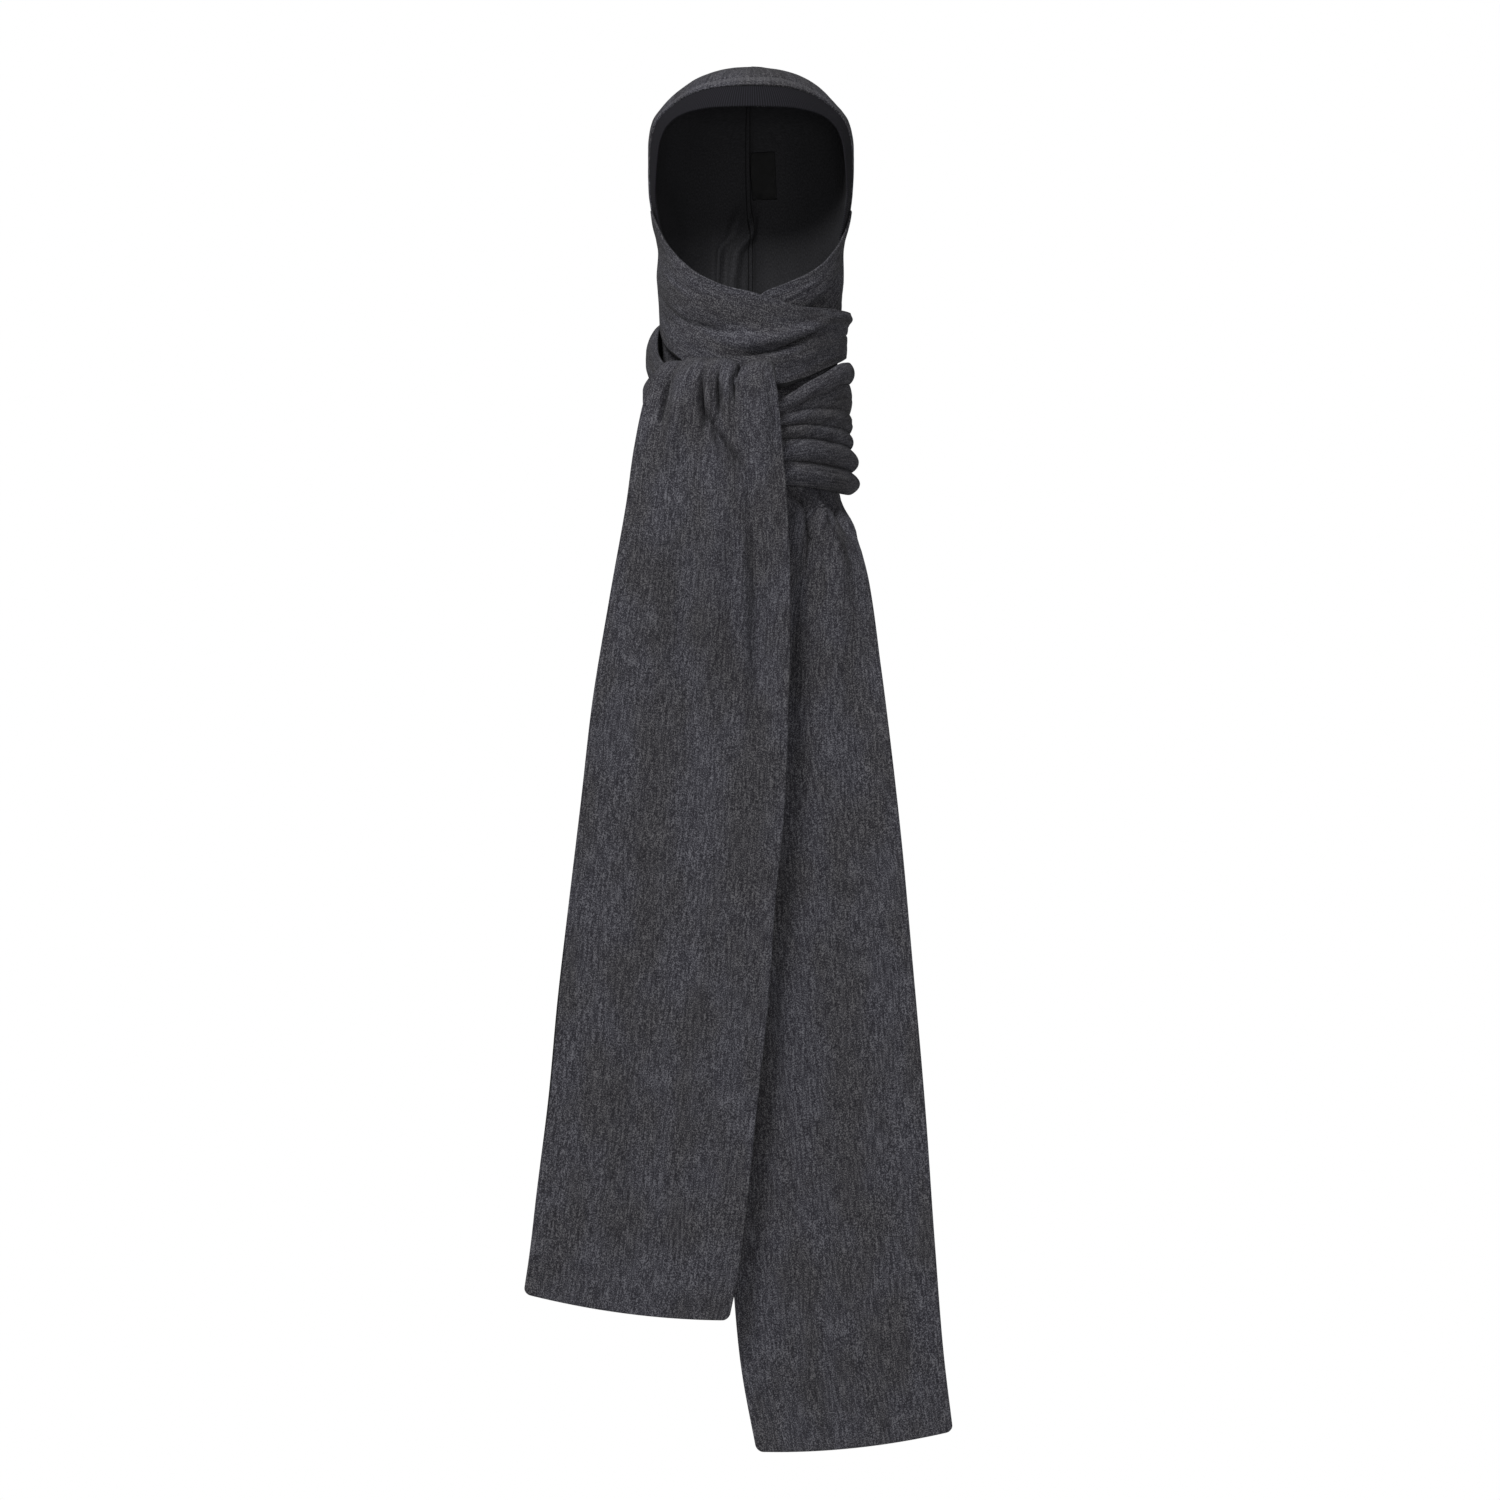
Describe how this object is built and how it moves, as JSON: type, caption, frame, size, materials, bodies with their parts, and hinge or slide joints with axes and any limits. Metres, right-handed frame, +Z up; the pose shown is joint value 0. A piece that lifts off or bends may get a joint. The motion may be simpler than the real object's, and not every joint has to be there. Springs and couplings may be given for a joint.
{
  "type": "hooded scarf",
  "caption": "Melange knit hood with a dark lining and a ribbed forehead band, running on into long flat scarf tails that wrap the neck once, tie in a half knot and hang in front.",
  "frame": {"origin": "the point inside the crown where the top of the head carries the hood, on the lining", "axes": "+Z up along the neck and head; -Y towards the front, the way the face opening looks; +X towards the viewer's right when the hood is seen from the front"},
  "size_m": [0.4289, 0.2548, 1.3831],
  "materials": {
    "grey_melange_knit": "brushed melange knit, matt",
    "black_lining": "smooth jersey, matt",
    "dark_rib_band": "fine rib knit, matt",
    "black_label": "woven satin, soft sheen"
  },
  "bodies": {
    "root": {"hood_shell": "grey_melange_knit", "hood_lining": "black_lining", "forehead_band": "dark_rib_band", "label": "black_label", "left_tail": "grey_melange_knit", "right_tail": "grey_melange_knit"}
  },
  "joints": []
}
